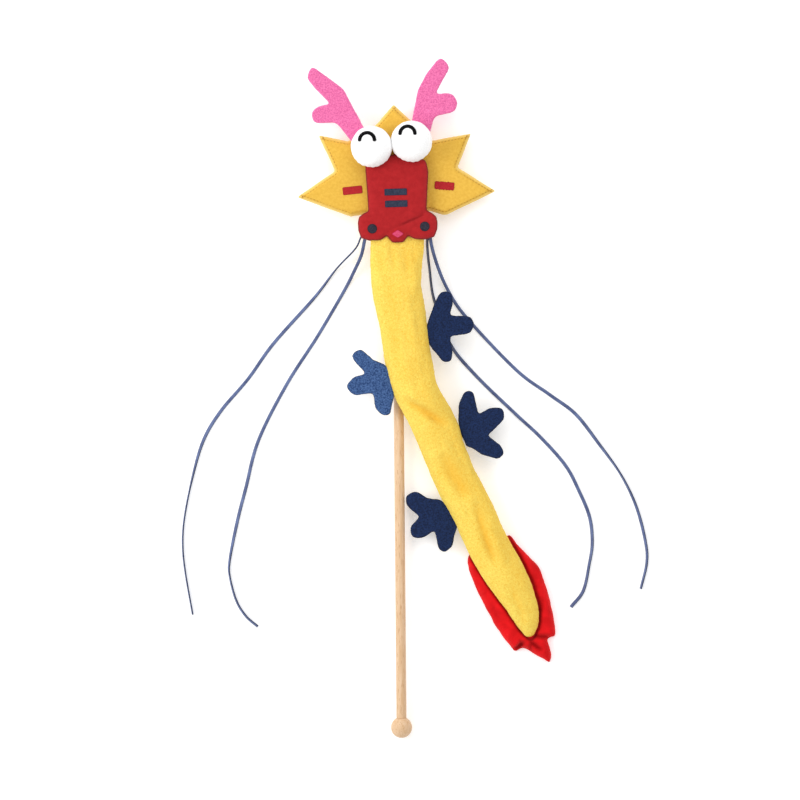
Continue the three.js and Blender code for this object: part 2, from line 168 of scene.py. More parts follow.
# Each lace's way: x, y and, where it is off the table, z, in millimetres.
whisker_routes = {
    "outer_left": [
        (-26, -23.5, 21.2), (-29.4, -30, 19.2), (-34, -39, 13.5), (-49, -54.5, 3.5),
        (-66.5, -77), (-100, -114), (-120.5, -142), (-142.5, -167.5), (-156.5, -190.5),
        (-165.5, -219.5), (-172.5, -253), (-174, -275.5), (-172, -297.5), (-166.5, -330.5),
    ],
    "inner_left": [
        (-25.2, -28.5, 18.2), (-26.5, -33.5, 16.5), (-29, -44, 12), (-35, -57, 5.5),
        (-44, -74, 2), (-65, -109), (-89.5, -146.5), (-112.5, -191), (-123, -229),
        (-130, -255.5), (-136.5, -287), (-136.5, -300.5), (-131.5, -319.5), (-124, -332),
        (-114.5, -340.5),
    ],
    "inner_right": [
        (24.8, -28, 18.2), (23.8, -36, 16), (25.6, -56, 7), (29, -80, 2), (41, -114.5),
        (61, -140), (93.5, -172), (113.5, -191), (133, -213.5), (143.5, -233.5), (152, -255),
        (154, -275.5), (151.5, -292.5), (146.5, -314), (136.5, -327),
    ],
    "outer_right": [
        (26.4, -23.5, 21.2), (26.8, -34, 18.8), (31.6, -52, 11), (40, -72, 4), (54.5, -94),
        (94, -136.5), (120.5, -156.5), (141.5, -172.5), (160, -196.5), (177.5, -221.5),
        (189.5, -247), (196.5, -274.5), (197.5, -292), (192.5, -313),
    ],
}
# How far each lace is rolled about its own line, as (share of its length, degrees):
# 0 lies on its face, 90 stands on its cut edge.
whisker_rolls = {
    "outer_left": [(0, 80), (0.12, 80), (0.25, 20), (0.45, 0), (0.6, 30), (0.72, 80), (1, 82)],
    "inner_left": [(0, 10), (0.2, 0), (0.5, 8), (0.75, 30), (0.86, 75), (1, 60)],
    "inner_right": [(0, 55), (0.12, 62), (0.3, 25), (0.5, 0), (0.75, 10), (0.9, 50), (1, 20)],
    "outer_right": [(0, 20), (0.15, 0), (0.45, 0), (0.6, 25), (0.72, 70), (0.85, 40), (1, 65)],
}


def through(points, spacing):
    """A smooth line through the points, with a point every spacing, in millimetres."""
    points = [Vector(p) for p in points]
    ends = [2 * points[0] - points[1]] + points + [2 * points[-1] - points[-2]]
    steps_between = 40
    fine = []
    for a, b, c, d in zip(ends, ends[1:], ends[2:], ends[3:]):
        for t in np.linspace(0, 1, steps_between, endpoint=False):
            fine.append(0.5 * (2 * b + (c - a) * t + (2 * a - 5 * b + 4 * c - d) * t * t
                               + (3 * b - a - 3 * c + d) * t ** 3))
    fine.append(points[-1])
    fine = np.array(fine)
    run = np.concatenate([[0], np.cumsum(np.linalg.norm(np.diff(fine, axis=0), axis=1))])
    at = np.linspace(0, run[-1], max(2, int(run[-1] / spacing) + 1))
    return [Vector([np.interp(s, run, fine[:, k]) for k in range(3)]) for s in at]


def picked(made, kind):
    """The points, edges or faces among what an operator made."""
    return [part for part in made if isinstance(part, kind)]


def sweep(bm, section, places):
    """Extrudes a closed section through a row of places; returns the faces of each step."""
    ring = [bm.verts.new(places[0] @ Vector((x, y, 0))) for x, y in section]
    edges = [bm.edges.new((a, b)) for a, b in zip(ring, ring[1:] + ring[:1])]
    bmesh.ops.contextual_create(bm, geom=edges)
    steps = []
    for before, after in zip(places, places[1:]):
        made = bmesh.ops.extrude_edge_only(bm, edges=edges)["geom"]
        fresh = set(picked(made, BMVert))
        edges = [e for e in picked(made, BMEdge) if set(e.verts) <= fresh]
        bmesh.ops.transform(bm, matrix=after @ before.inverted(), verts=list(fresh))
        steps.append(picked(made, BMFace))
    bmesh.ops.contextual_create(bm, geom=edges)
    return steps


def make_piece(bm, name, materials, body=None, stands_for=()):
    """Turns a bmesh into a finished, smooth-shaded piece that rides on a body."""
    mesh = bpy.data.meshes.new(name)
    bm.to_mesh(mesh)
    bm.free()
    mesh.polygons.foreach_set("use_smooth", [True] * len(mesh.polygons))
    piece = bpy.data.objects.new(name, mesh)
    scene.collection.objects.link(piece)
    for material in materials:
        mesh.materials.append(material)
    if body:
        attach(piece, body)
    if stands_for:
        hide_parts(*stands_for)
    return piece


# Dyed and finished leather: even blue with a slight pull-up bloom, waxy low gloss.
lace_face, tree, skin, place = new_material("dyed_leather", 0.48)
bloom = add_node(tree, "ShaderNodeTexNoise", {"Vector": place, "Scale": 1 / (9 * mm), "Detail": 3})
shade = add_node(tree, "ShaderNodeValToRGB", {"Fac": bloom.outputs["Fac"]})
colour_stops(shade, (0.35, "#3D4B76"), (0.7, "#5C6C98"))
grain = add_node(tree, "ShaderNodeTexVoronoi", {"Vector": place, "Scale": 1 / (0.5 * mm)})
dress(tree, skin, shade.outputs["Color"], grain.outputs["Distance"], 0.25, 0.1 * mm)
# The blade's cut shows the darker, rougher inside of the hide.
lace_edge, tree, skin, place = new_material("cut_leather", 0.8)
fibre = add_node(tree, "ShaderNodeTexNoise", {"Vector": place, "Scale": 1 / (0.6 * mm)})
shade = add_node(tree, "ShaderNodeValToRGB", {"Fac": fibre.outputs["Fac"]})
colour_stops(shade, (0.0, "#141B2E"), (1.0, "#323C55"))
tree.links.new(shade.outputs["Color"], skin.inputs["Base Color"])

for side, route in whisker_routes.items():
    line = through([p if len(p) == 3 else (*p, FLOOR) for p in route], 1.6)
    shares = np.linspace(0, 1, len(line))
    turns = np.interp(shares, *zip(*whisker_rolls[side]))
    places = []
    for i, point in enumerate(line):
        ahead = (line[min(i + 1, len(line) - 1)] - line[max(i - 1, 0)]).normalized()
        across = ahead.cross(Vector((0, 0, 1))).normalized()
        roll = Matrix.Rotation(math.radians(turns[i]), 3, ahead)
        across = roll @ across
        upright = across.cross(ahead)
        place_here = Matrix((across, upright, -ahead)).transposed().to_4x4()
        lowest = 0.5 * (abs(across.z) * LACE_WIDTH + abs(upright.z) * LACE_THICK) / mm
        point.z = max(lowest + 0.1, point.z - (FLOOR - lowest - 0.1 if point.z < 4 else 0))
        places.append(Matrix.Translation(point * mm) @ place_here)
    w, t, r = LACE_WIDTH / 2, LACE_THICK / 2, 0.15 * mm
    section = [(w - r, -t), (w, r - t), (w, t - r), (w - r, t),
               (r - w, t), (-w, t - r), (-w, r - t), (r - w, -t)]
    bm = bmesh.new()
    for faces, where in zip(sweep(bm, section, places), places):
        for face in faces:
            face.normal_update()
            face.material_index = int(abs(face.normal @ where.col[0].xyz) > 0.8)
    bmesh.ops.recalc_face_normals(bm, faces=bm.faces)
    lace = make_piece(bm, f"lace_{side}", [lace_face, lace_edge], "head",
                      [f"whisker_{side}"])

# ----------------------------------------
# Stick and ball: a beech dowel, sanded and left bare, glued into a drilled beech ball.
# The dowel is drawn through a round cutter, so its grain runs straight along it.
def beech(name, along):
    """Bare beech: warm pink-tan with short brown flecks that lie along the grain."""
    material, tree, skin, place = new_material(name, 0.55)
    stretch = add_node(tree, "ShaderNodeMapping", {"Vector": place, "Scale": along})
    grain = add_node(tree, "ShaderNodeTexNoise", {
        "Vector": stretch.outputs["Vector"], "Scale": 1 / (1.6 * mm), "Detail": 4})
    shade = add_node(tree, "ShaderNodeValToRGB", {"Fac": grain.outputs["Fac"]})
    colour_stops(shade, (0.3, "#D2AB80"), (0.75, "#E2C29F"))
    flecks = add_node(tree, "ShaderNodeTexNoise", {
        "Vector": stretch.outputs["Vector"], "Scale": 1 / (0.55 * mm), "Detail": 1})
    mask = add_node(tree, "ShaderNodeValToRGB", {"Fac": flecks.outputs["Fac"]})
    mask.color_ramp.elements[0].position = 0.63
    mask.color_ramp.elements[0].color = (0, 0, 0, 1)
    mask.color_ramp.elements[1].position = 0.7
    mask.color_ramp.elements[1].color = (0.7, 0.7, 0.7, 1)
    mix = add_node(tree, "ShaderNodeMix", {
        "Factor": mask.outputs["Color"], "A": shade.outputs["Color"], "B": linear("#A8733F")},
        data_type="RGBA")
    dress(tree, skin, mix.outputs["Result"], grain.outputs["Fac"], 0.3, 0.15 * mm)
    return material


def cut_away(bm, point, normal, **side):
    """Cuts a bmesh with a plane and clears one side of it; returns the edges of the cut."""
    cut = bmesh.ops.bisect_plane(bm, geom=bm.verts[:] + bm.edges[:] + bm.faces[:],
                                 plane_co=point, plane_no=normal, **side)
    return picked(cut["geom_cut"], BMEdge)


low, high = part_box("stick")
stick_radius = (high[0] - low[0]) / 2
stick_height = (high[2] + low[2]) / 2
stick_length = high[1] - low[1]
bm = bmesh.new()
bmesh.ops.create_cone(bm, cap_ends=True, segments=48, radius1=stick_radius,
                      radius2=stick_radius, depth=stick_length)
ends = [e for e in bm.edges if len(e.link_faces) == 2
        and e.calc_face_angle(0) > math.radians(60)]
bmesh.ops.bevel(bm, geom=ends, offset=0.6 * mm, segments=3, affect="EDGES", profile=0.5,
                material=-1)
bmesh.ops.rotate(bm, verts=bm.verts, matrix=Matrix.Rotation(math.pi / 2, 3, "X"))
bmesh.ops.translate(bm, verts=bm.verts, vec=(0, (low[1] + high[1]) / 2, stick_height))
make_piece(bm, "dowel", [beech("beech_dowel", (1, 0.09, 1))], "head", ["stick"])

low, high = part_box("ball_knob")
ball_radius = (high[0] - low[0]) / 2
ball_centre = Vector((0, low[1] + ball_radius, stick_height))
mouth_radius = stick_radius + 0.15 * mm
bm = bmesh.new()
bmesh.ops.create_uvsphere(bm, u_segments=48, v_segments=32, radius=ball_radius)
bmesh.ops.rotate(bm, verts=bm.verts, matrix=Matrix.Rotation(math.pi / 2, 3, "X"))
cut_height = math.sqrt(ball_radius ** 2 - mouth_radius ** 2)
rim = cut_away(bm, (0, cut_height, 0), (0, 1, 0), clear_outer=True)
made = bmesh.ops.extrude_edge_only(bm, edges=rim)["geom"]
bmesh.ops.translate(bm, verts=picked(made, BMVert),
                    vec=(0, -7 * mm, 0))
bmesh.ops.contextual_create(bm, geom=[e for e in picked(made, BMEdge)
                                      if all(v.co.y < cut_height - 6 * mm for v in e.verts)])
bmesh.ops.translate(bm, verts=bm.verts, vec=ball_centre)
bmesh.ops.recalc_face_normals(bm, faces=bm.faces)
make_piece(bm, "ball_end", [beech("beech_ball", (1, 0.25, 1))], "head", ["ball_knob"])


# ----------------------------------------
# Mane: a spiky collar of mustard cloth, two faces sewn round a stiff foam sheet.
# The faces are pressed and topstitched just inside the edge, so the rim is thin and the
# middle stands a little proud.
def cad_copy(*names):
    """The CAD solids' meshes as one bmesh, with flat stretches joined into single faces."""
    bm = bmesh.new()
    for name in names:
        bm.from_mesh(nodes[name].data)
    bmesh.ops.remove_doubles(bm, verts=bm.verts, dist=0.002 * mm)
    bmesh.ops.dissolve_limit(bm, angle_limit=math.radians(1), verts=bm.verts, edges=bm.edges)
    return bm


def rim_of(bm):
    """The outline of a flat solid: the corners of its biggest upward face, in order."""
    top = max((f for f in bm.faces if f.normal.z > 0.9), key=lambda f: f.calc_area())
    return [v.co.copy() for v in top.verts]


def resample(piece, voxel, smooth=2, rounder=0):
    """Gives a closed piece an even fine, smoothed mesh; rounder softens its outline only."""
    remesh = piece.modifiers.new("even", "REMESH")
    remesh.mode = "VOXEL"
    remesh.voxel_size = voxel
    soften = piece.modifiers.new("soften", "SMOOTH")
    soften.iterations = smooth
    soften.factor = 0.5
    if rounder:
        outline = piece.modifiers.new("outline", "SMOOTH")
        outline.iterations = rounder
        outline.factor = 0.5
        outline.use_z = False
    apply_modifiers(piece)


def apply_modifiers(piece):
    """Bakes a piece's modifiers into its mesh."""
    bpy.context.view_layer.update()
    shaped = piece.evaluated_get(bpy.context.evaluated_depsgraph_get())
    mesh = bpy.data.meshes.new_from_object(shaped)
    for material in piece.data.materials:
        if material.name not in mesh.materials:
            mesh.materials.append(material)
    mesh.polygons.foreach_set("use_smooth", [True] * len(mesh.polygons))
    piece.modifiers.clear()
    piece.data = mesh


def points_of(piece):
    """A piece's points as rows of x, y, z."""
    rows = np.empty(len(piece.data.vertices) * 3)
    piece.data.vertices.foreach_get("co", rows)
    return rows.reshape(-1, 3)


def set_points(piece, rows):
    """Moves a piece's points to rows of x, y, z."""
    piece.data.vertices.foreach_set("co", rows.ravel())
    piece.data.update()


def normals_of(piece):
    """The way out of the surface at each of a piece's points."""
    rows = np.empty(len(piece.data.vertices) * 3)
    piece.data.vertices.foreach_get("normal", rows)
    return rows.reshape(-1, 3)


def from_rim(rows, rim):
    """Each point's level distance from an outline, in millimetres."""
    nearest = np.full(len(rows), 1e9)
    for a, b in zip(rim, rim[1:] + rim[:1]):
        a, b = np.array(a[:2]), np.array(b[:2])
        along = b - a
        share = np.clip((rows[:, :2] - a) @ along / max(along @ along, 1e-12), 0, 1)
        gap = rows[:, :2] - (a + share[:, None] * along)
        nearest = np.minimum(nearest, np.hypot(gap[:, 0], gap[:, 1]))
    return nearest / mm


def roughen(piece, height, size, seed=0.0):
    """Raises and lowers the surface by soft noise of one size."""
    rows, out = points_of(piece), normals_of(piece)
    start = Vector((seed, seed * 2, seed * 3))
    lift = np.array([noise.noise(Vector(p) / size + start) for p in rows])
    set_points(piece, rows + out * (lift * height)[:, None])


def rest_on_table(piece):
    """Presses a piece's underside flat where it would pass through the table."""
    rows = points_of(piece)
    rows[:, 2] = np.maximum(rows[:, 2], 0.1 * mm)
    set_points(piece, rows)


def step(low, high, value):
    """0 below low, 1 above high, and smooth in between."""
    t = np.clip((value - low) / (high - low), 0, 1)
    return t * t * (3 - 2 * t)


def mark(piece, name, values):
    """Stores a number for each point, which the material reads."""
    piece.data.attributes.new(name, "FLOAT", "POINT").data.foreach_set(
        "value", np.asarray(values, dtype=np.float32))


def felted(name, dark, light, patch, fuzz, cut):
    """Felted cloth: wool pressed flat, mottled in patches, matt, with a fine fibre bump.
    Its edge shows a colour of its own where the rim attribute says; this colour is painted shade
    in the snout's creases and round the denim foot."""
    material, tree, skin, place = new_material(
        name, 0.92, Sheen_Weight=0.1, Sheen_Roughness=0.5, Specular_IOR_Level=0.2)
    mottle = add_node(tree, "ShaderNodeTexNoise", {
        "Vector": place, "Scale": 1 / patch, "Detail": 6, "Roughness": 0.62})
    shade = add_node(tree, "ShaderNodeValToRGB", {"Fac": mottle.outputs["Fac"]})
    colour_stops(shade, (0.36, dark), (0.64, light))
    rim = add_node(tree, "ShaderNodeAttribute", attribute_name="rim")
    colour = add_node(tree, "ShaderNodeMix", {
        "Factor": rim.outputs["Fac"], "A": shade.outputs["Color"], "B": linear(cut)},
        data_type="RGBA")
    hairs = add_node(tree, "ShaderNodeTexNoise", {
        "Vector": place, "Scale": 1 / fuzz, "Detail": 3, "Distortion": 1.5})
    dress(tree, skin, colour.outputs["Result"], hairs.outputs["Fac"], 0.6, 0.35 * mm)
    return material


def sew(name, line, height, length, pitch, thick, material, body):
    """A row of stitches along a closed line: short fat thread beads, a pitch apart."""
    bm = bmesh.new()
    loop = line + line[:1]
    run = np.concatenate([[0], np.cumsum([(b - a).length for a, b in zip(loop, loop[1:])])])
    for s in np.arange(0, run[-1] - length / 2, pitch):
        i = int(np.searchsorted(run, s, side="right")) - 1
        a, b = loop[i], loop[i + 1]
        point = a.lerp(b, (s - run[i]) / max(run[i + 1] - run[i], 1e-9))
        angle = math.atan2(b.y - a.y, b.x - a.x)
        bead = bmesh.ops.create_uvsphere(bm, u_segments=6, v_segments=5, radius=0.5)["verts"]
        bmesh.ops.scale(bm, verts=bead, vec=(length, thick, thick))
        bmesh.ops.rotate(bm, verts=bead, matrix=Matrix.Rotation(angle, 3, "Z"))
        bmesh.ops.translate(bm, verts=bead, vec=(point.x, point.y, height))
    return make_piece(bm, name, [material], body)


def inset_line(bm, distance):
    """The line that runs a distance inside a flat solid's outline."""
    top = max((f for f in bm.faces if f.normal.z > 0.9), key=lambda f: f.calc_area())
    bmesh.ops.inset_region(bm, faces=[top], thickness=distance, use_even_offset=True,
                           use_boundary=True)
    return [v.co.copy() for v in top.verts]


def declare_sheet(piece):
    """Reads a piece's points, and does nothing more with them."""
    rows = points_of(piece)


mustard = felted("mustard_felted_cloth", "#DDAC40", "#E7BA4C", 2.2 * mm, 0.45 * mm, "#F5D884")
mustard_thread, tree, skin, place = new_material("mustard_thread", 0.7)
skin.inputs["Base Color"].default_value = linear("#A66F12")
STITCH_IN = 2.7  # millimetres from the edge to the topstitching
RIM_DROP = 3.2  # how far the front face comes down to meet the back one at the seam
for face, sign in (("front", 1), ("back", 0)):
    node = f"mane_{face}"
    bm = cad_copy(node)
    rim = rim_of(bm)
    inner = ["mane_core"] if sign else []
    cloth = make_piece(bm, f"mane_{face}_cloth", [mustard], "head",
                       [node] + inner)
    resample(cloth, 0.75 * mm, 1)
    rows = points_of(cloth)
    inside = from_rim(rows, rim)
    middle = (rows[:, 2].min() + rows[:, 2].max()) / 2
    outer_face = (rows[:, 2] > middle) if sign else (rows[:, 2] < middle)
    groove = 0.6 * np.exp(-((inside - STITCH_IN) / 0.6) ** 2) * outer_face
    if sign:
        rows[:, 2] -= RIM_DROP * mm * (1 - step(0.0, 3.4, inside))
        rows[:, 2] -= groove * mm
    else:
        rows[:, 2] += groove * mm
    set_points(cloth, rows)
    mark(cloth, "rim", 0.75 * (1 - step(0.4, 2.4, inside)))
    roughen(cloth, 0.35 * mm, 16 * mm, 3)
    roughen(cloth, 0.12 * mm, 2.2 * mm, 7)
    if sign:
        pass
    else:
        declare_sheet(cloth)
    stitch_line = inset_line(cad_copy(node), STITCH_IN * mm)
    surface = rows[(np.abs(inside - STITCH_IN) < 0.4) & outer_face, 2].mean()
    sew(f"mane_{face}_stitches", stitch_line, surface, 2.1 * mm, 2.7 * mm, 0.5 * mm,
        mustard_thread, "head")

# ----------------------------------------
# The pocket behind the mane: a doubled strip of the same cloth, sewn down both sides,
# that grips the top of the stick.
bm = cad_copy("stick_sleeve")
edges = [e for e in bm.edges if e.calc_face_angle(0) > math.radians(50)
         and abs((e.verts[0].co - e.verts[1].co).normalized().y) > 0.9
         and abs(e.verts[0].co.x) > 8 * mm]
bmesh.ops.bevel(bm, geom=edges, offset=4 * mm, segments=6, affect="EDGES", profile=0.5,
                material=-1, clamp_overlap=True)
pocket = make_piece(bm, "stick_pocket", [mustard], "head", ["stick_sleeve"])
resample(pocket, 0.8 * mm)
roughen(pocket, 0.3 * mm, 9 * mm, 11)
roughen(pocket, 0.12 * mm, 2 * mm, 13)
rest_on_table(pocket)
low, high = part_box("stick_sleeve")
mark(pocket, "rim", np.zeros(len(pocket.data.vertices)))  # its edges are turned in

# ----------------------------------------
# Antlers: forked shapes cut from thick pink wool felt, each one piece, sewn down behind
# the eyes.
pink = felted("pink_wool_felt", "#D0578F", "#F47FB5", 1.1 * mm, 0.35 * mm, "#F4A3C6")


def swell(piece, distance):
    """Moves a felt shape's cut edge outward, which rounds its tips."""
    rows = points_of(piece)
    rows[:, :2] += normals_of(piece)[:, :2] * distance
    set_points(piece, rows)


def cut_edge(piece):
    """1 on a felt shape's cut edge, 0 on its faces."""
    return 1 - step(0.35, 0.9, np.abs(normals_of(piece)[:, 2]))


def joint_point(name):
    """A joint's place and axis."""
    found = next(j for j in frame["joints"] if j["name"] == name)
    return Vector(found["pos_m"]), Vector(found["axis"])


for side in ("left", "right"):
    hinge, axis = joint_point(f"antler_{side}_flex")
    bm = cad_copy(f"antler_root_{side}", f"antler_{side}")
    # The root and the blade are joined across the slit between them.
    facing = sorted((f for f in bm.faces if abs(f.normal.z) < 0.1),
                    key=lambda f: (f.calc_center_median() - hinge).length)[:2]
    loops = [e for f in facing for e in f.edges]
    bmesh.ops.delete(bm, geom=facing, context="FACES_ONLY")
    bmesh.ops.bridge_loops(bm, edges=loops)
    bmesh.ops.recalc_face_normals(bm, faces=bm.faces)
    antler = make_piece(bm, f"antler_felt_{side}", [pink])
    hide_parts(f"antler_root_{side}", f"antler_{side}")
    resample(antler, 0.7 * mm, 2, 45)
    swell(antler, 0.45 * mm)
    mark(antler, "rim", cut_edge(antler))
    roughen(antler, 0.25 * mm, 8 * mm, 17)
    roughen(antler, 0.16 * mm, 1.8 * mm, 19)
    declare_sheet(antler)
    onward = axis.cross(Vector((0, 0, 1))) * -1
    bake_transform(antler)

# ----------------------------------------
# Body: one long tube of yellow fleece, sewn up both sides and lightly stuffed.
# Its flat top end is caught between mane and snout; it is looser where it bends and has
# a few soft folds there. The skin is cut into lengths, one across each joint.
# Stations down the tube, in millimetres: x, y and z of its middle, half width, half height.
body_stations = [
    (0, 14, 21.6, 20.6, 1.2), (0, -6, 21.6, 21, 1.25), (0, -24, 21.6, 21.4, 1.3),
    (0, -36.6, 22, 22.4, 2.2), (-0.3, -46, 22.4, 21.8, 5.4), (-0.5, -58, 23.3, 20.7, 10),
    (-0.5, -72, 24, 20, 11), (3, -96, 24, 19.8, 11), (7.5, -128, 24, 18.5, 11),
    (13, -152, 23.6, 17.8, 11), (25, -176, 20.5, 17.8, 11), (35, -200.5, 15.5, 18, 11),
    (45.3, -224.2, 12.2, 17.8, 11), (57.3, -247.5, 11.8, 17.2, 11),
    (68.3, -271.5, 12.2, 17, 10.6), (83.8, -298.9, 12.8, 16.2, 10),
    (92.4, -314, 12.5, 14.6, 9.2), (99.4, -329.2, 11.5, 11.6, 7.6),
    (102.6, -340.2, 10.6, 8.2, 5.6), (104, -349.5, 10, 2.8, 1.8),
]
# Soft folds in the fleece: from, to (x, y), half width and depth, all in millimetres. A
# negative depth is the ridge beside a fold.
folds = [
    ((4, -159), (39, -181), 3.2, 3.2), ((2, -152), (36, -170), 3.4, -1.9),
    ((33, -203), (54, -240), 6.5, 2.8), ((60, -242), (76, -294), 3.4, 2.6),
    ((70, -252), (86, -292), 4, -1.2), ((38, -222), (52, -256), 4, -0.8),
    ((-14, -36), (-12, -62), 2.6, 1.0), ((6, -36), (8, -60), 2.6, 1.0),
    ((14, -36), (13, -54), 2.2, 0.8), ((-4, -36), (-3, -58), 2.2, 0.8),
    ((-9, -60), (0, -140), 4.5, 1.2), ((9, -64), (16, -136), 5, -1.0),
    ((88, -308), (100, -342), 3.2, 1.3),
]


def fold_depth(rows, start, finish, width):
    """How strongly a fold is felt at each point: 1 on its line, fading to the sides and ends."""
    a, b = np.array(start) * mm, np.array(finish) * mm
    along = b - a
    share = (rows[:, :2] - a) @ along / (along @ along)
    gap = rows[:, :2] - (a + np.clip(share, 0, 1)[:, None] * along)
    off = np.hypot(gap[:, 0], gap[:, 1]) / (width * mm)
    fade = 1 - np.clip(np.abs(2 * share - 1), 0, 1) ** 3
    return np.exp(-off ** 2) * fade


centres = through([s[:3] for s in body_stations], 4.0)
station_run = np.concatenate([[0], np.cumsum([
    (Vector(b[:3]) - Vector(a[:3])).length for a, b in zip(body_stations, body_stations[1:])])])
centre_run = np.linspace(0, station_run[-1], len(centres))
places = []
for i, (centre, run) in enumerate(zip(centres, centre_run)):
    ahead = centres[min(i + 1, len(centres) - 1)] - centres[max(i - 1, 0)]
    ahead.z = 0
    ahead.normalize()
    across = ahead.cross(Vector((0, 0, 1)))
    half_width = np.interp(run, station_run, [s[3] for s in body_stations])
    half_height = np.interp(run, station_run, [s[4] for s in body_stations])
    turn = Matrix((across * half_width * mm, Vector((0, 0, half_height * mm)), -ahead))
    places.append(Matrix.Translation(centre * mm) @ turn.transposed().to_4x4())


def beside_tail(rows):
    """Each point's run along the body, level distance off its line and the half width there."""
    level = rows[:, :2] / mm
    line = np.array([c[:2] for c in centres])
    gaps = level[:, None, :] - line[None, :, :]
    nearest = np.argmin((gaps ** 2).sum(axis=2), axis=1)
    ahead = np.gradient(line, axis=0)
    ahead /= np.linalg.norm(ahead, axis=1)[:, None]
    gap = gaps[np.arange(len(rows)), nearest]
    ahead = ahead[nearest]
    beyond = (gap * ahead).sum(axis=1)
    off = gap[:, 1] * ahead[:, 0] - gap[:, 0] * ahead[:, 1]
    half = np.interp(centre_run[nearest], station_run, [s[3] for s in body_stations])
    past_end = nearest == len(centres) - 1
    off = np.where(past_end, np.hypot(off, np.maximum(beyond, 0)) * np.sign(off + 1e-9), off)
    return centre_run[nearest] + beyond, off, half


AROUND = 40  # sides of the tube before the cloth is made finer
section = [(math.cos(a), math.sin(a)) for a in
           (2 * math.pi * k / AROUND for k in range(AROUND))]
bm = bmesh.new()
sweep(bm, section, places)
bmesh.ops.recalc_face_normals(bm, faces=bm.faces)

# Brushed polyester fleece: a nubbly lemon pile; a deeper gold is painted on as shade where it
# turns away from the left lamp.
fleece, tree, skin, place = new_material(
    "yellow_polyester_fleece", 0.95, Sheen_Weight=0.45, Sheen_Roughness=0.6,
    Specular_IOR_Level=0.15)
skin.inputs["Sheen Tint"].default_value = linear("#FFE37A")
patches = add_node(tree, "ShaderNodeTexNoise", {
    "Vector": place, "Scale": 1 / (26 * mm), "Detail": 3})
nubs = add_node(tree, "ShaderNodeTexNoise", {
    "Vector": place, "Scale": 1 / (1.2 * mm), "Detail": 4, "Roughness": 0.65,
    "Distortion": 0.8})
nap = add_node(tree, "ShaderNodeMix", {
    "Factor": 0.85, "A": patches.outputs["Fac"], "B": nubs.outputs["Fac"]})
shade = add_node(tree, "ShaderNodeValToRGB", {"Fac": nap.outputs["Result"]})
colour_stops(shade, (0.32, "#EDBA3C"), (0.64, "#FFE870"))
# Painted shade: a deeper gold mixed in by the depth of each fold, standing in for the light that
# bounces between a fold's walls, and on the side away from the lamp.
painted_shade = add_node(tree, "ShaderNodeAttribute", attribute_name="painted_shade")
gold = add_node(tree, "ShaderNodeMix", {
    "Factor": painted_shade.outputs["Fac"], "A": shade.outputs["Color"], "B": linear("#EDAC24")},
    data_type="RGBA")
dress(tree, skin, gold.outputs["Result"], nubs.outputs["Fac"], 0.9, 0.9 * mm)


def in_order(bm):
    """Puts a mesh's edges and faces in the order of their points, so each run fills alike."""
    bm.verts.index_update()
    count = len(bm.verts)

    def rank(part):
        numbers = [v.index for v in part.verts]
        return min(numbers) * count + max(numbers)

    bm.edges.sort(key=rank)
    bm.faces.sort(key=rank)


FILLING_FRAMES = 20
LEVEL_SHARE = 0.5  # the seams at the sides hold the cloth, so it swells mostly up and down


def inflate(piece, pressure, slack, cap):
    """Fills a soft piece as cloth a little bigger than its form, so it swells and puckers."""
    before = points_of(piece)
    cloth = piece.modifiers.new("filling", "CLOTH")
    cloth.settings.quality = 6
    cloth.settings.use_pressure = True
    cloth.settings.uniform_pressure_force = pressure
    cloth.settings.shrink_min = -slack
    cloth.settings.effector_weights.gravity = 0
    cloth.point_cache.frame_end = FILLING_FRAMES
    for frame_number in range(1, FILLING_FRAMES + 1):
        scene.frame_set(frame_number)
    shaped = piece.evaluated_get(bpy.context.evaluated_depsgraph_get())
    after = np.array([v.co for v in shaped.data.vertices])
    scene.frame_set(1)
    piece.modifiers.clear()
    moved = after - before
    length = np.linalg.norm(moved, axis=1)
    moved *= np.minimum(1, cap / np.maximum(length, 1e-9))[:, None]
    moved[:, :2] *= LEVEL_SHARE
    set_points(piece, before + moved)


in_order(bm)
tube = make_piece(bm, "fleece_tube", [fleece])
inflate(tube, pressure=4, slack=0.05, cap=2 * mm)
finer = tube.modifiers.new("finer", "SUBSURF")
finer.levels = finer.render_levels = 2
apply_modifiers(tube)
rows, out = points_of(tube), normals_of(tube)
sunk = np.zeros(len(rows))
for start, finish, width, depth in folds:
    upward = np.clip(out[:, 2], 0, 1)
    sunk += fold_depth(rows, start, finish, width) * depth * upward
rows -= out * (sunk * mm)[:, None]
set_points(tube, rows)
run_of, off_centre, half_here = beside_tail(rows)
# Painted shade: the half of the tube away from the left lamp takes some gold, and the folds take
# more by their depth.
far_side_shade = step(-0.8, 0.6, off_centre / half_here) * 0.2
mark(tube, "painted_shade", np.clip(sunk / 6, 0, 0.45) + far_side_shade)
# Shallow ridges run along the tube, where the fleece is pulled lengthwise.
ridges = np.array([noise.noise(Vector((s / 45, c / 6.5, 0))) for s, c in zip(run_of, off_centre)])
rows = points_of(tube)
set_points(tube, rows + normals_of(tube) * (ridges * 0.9 * mm)[:, None])
roughen(tube, 0.4 * mm, 14 * mm, 23)
roughen(tube, 0.3 * mm, 2.2 * mm, 29)
rest_on_table(tube)
# It lies across the stick, which presses a shallow groove into its underside.
low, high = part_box("stick")
stick_middle = (np.array([low[0], low[2]]) + np.array([high[0], high[2]])) / 2
clear = (high[0] - low[0]) / 2 + 0.35 * mm
rows = points_of(tube)
across = rows[:, [0, 2]] - stick_middle
reach = np.hypot(across[:, 0], across[:, 1])
over = (reach < clear) & (rows[:, 1] < high[1])
rows[over, 0] = stick_middle[0] + across[over, 0] / reach[over] * clear
rows[over, 2] = stick_middle[1] + across[over, 1] / reach[over] * clear
set_points(tube, rows)

